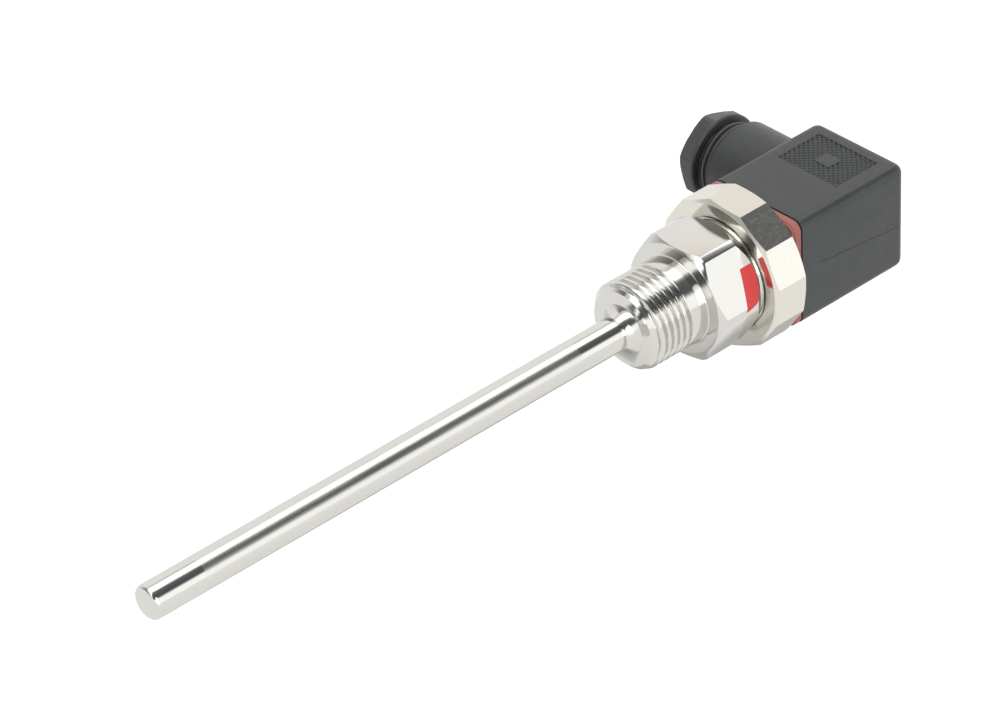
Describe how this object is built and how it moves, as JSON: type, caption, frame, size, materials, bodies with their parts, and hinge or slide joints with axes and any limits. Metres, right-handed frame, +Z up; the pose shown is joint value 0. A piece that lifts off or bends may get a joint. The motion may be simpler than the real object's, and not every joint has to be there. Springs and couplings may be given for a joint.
{
  "type": "rtd probe with head",
  "caption": "Screw-in resistance thermometer: closed protection tube on a threaded hexagon fitting, with a union nut and a right-angle plug connector as its head.",
  "frame": {"origin": "centre of the collar face that seals against the port, on the probe's axis", "axes": "+X along the probe from the closed tip to the head, +Y along the cable gland, +Z up when the plug's textured face is on top"},
  "size_m": [0.2088, 0.0548, 0.0356],
  "materials": {
    "stainless_satin": "drawn and satin, polished at the tip",
    "stainless_turned": "turned bright, hexagon as drawn",
    "nickel_plated_brass": "bright nickel plate",
    "brass": "turned",
    "copper_wire": "drawn wire",
    "tinned_contact": "tin plated, satin",
    "zinc_plated_steel": "zinc plated",
    "ceramic": "unglazed alumina",
    "epoxy": "cast epoxy",
    "black_rubber": "moulded",
    "red_silicone": "moulded silicone",
    "grey_polyamide": "moulded, fine spark-eroded grain",
    "gland_polyamide": "moulded, satin",
    "black_polyamide": "moulded, satin"
  },
  "bodies": {
    "probe": {"protection_tube": "stainless_satin", "process_fitting": "stainless_turned", "insert_tube": "stainless_satin", "insert_bush": "brass", "insert_seal": "epoxy", "sensing_element": "ceramic", "tip_filler": "ceramic", "insulator_rod": "ceramic", "lead_wire_1": "copper_wire", "lead_wire_2": "copper_wire", "lead_wire_3": "copper_wire", "cavity_potting": "epoxy", "base_seal": "black_rubber", "union_nut": "nickel_plated_brass", "connector_base": "black_polyamide", "centre_insert": "brass", "contact_pin_1": "tinned_contact", "contact_pin_2": "tinned_contact", "contact_pin_3": "tinned_contact", "earth_pin": "tinned_contact"},
    "plug": {"profile_gasket": "red_silicone", "plug_housing": "grey_polyamide", "contact_carrier": "black_polyamide", "socket_contact_1": "tinned_contact", "socket_contact_2": "tinned_contact", "socket_contact_3": "tinned_contact", "earth_socket_contact": "tinned_contact", "terminal_screws": "zinc_plated_steel", "cable_seal": "black_rubber"},
    "screw_seal": {"screw_seal": "black_rubber"},
    "fixing_screw": {"fixing_screw": "zinc_plated_steel"},
    "thrust_washer": {"thrust_washer": "black_polyamide"},
    "gland_screw": {"gland_screw": "gland_polyamide"}
  },
  "joints": [
    {"name": "plug_pull", "type": "slide", "parent": "probe", "child": "plug", "axis": [1, 0, 0], "range_m": [0, 0.025]},
    {"name": "fixing_screw_rise", "type": "slide", "parent": "plug", "child": "screw_seal", "axis": [1, 0, 0], "range_m": [0, 0.005]},
    {"name": "fixing_screw_turn", "type": "hinge", "parent": "screw_seal", "child": "fixing_screw", "pos_m": [0.056, 0, 0], "axis": [1, 0, 0], "range_deg": [0, 3600]},
    {"name": "gland_rise", "type": "slide", "parent": "plug", "child": "thrust_washer", "axis": [0, 1, 0], "range_m": [0, 0.0033]},
    {"name": "gland_turn", "type": "hinge", "parent": "thrust_washer", "child": "gland_screw", "pos_m": [0.048, 0.0324, 0], "axis": [0, 1, 0], "range_deg": [0, 842]}
  ],
  "couplings": [
    {"joint": "fixing_screw_turn", "follows": "fixing_screw_rise", "rad_per_m": 12566},
    {"joint": "gland_turn", "follows": "gland_rise", "rad_per_m": 4453}
  ]
}
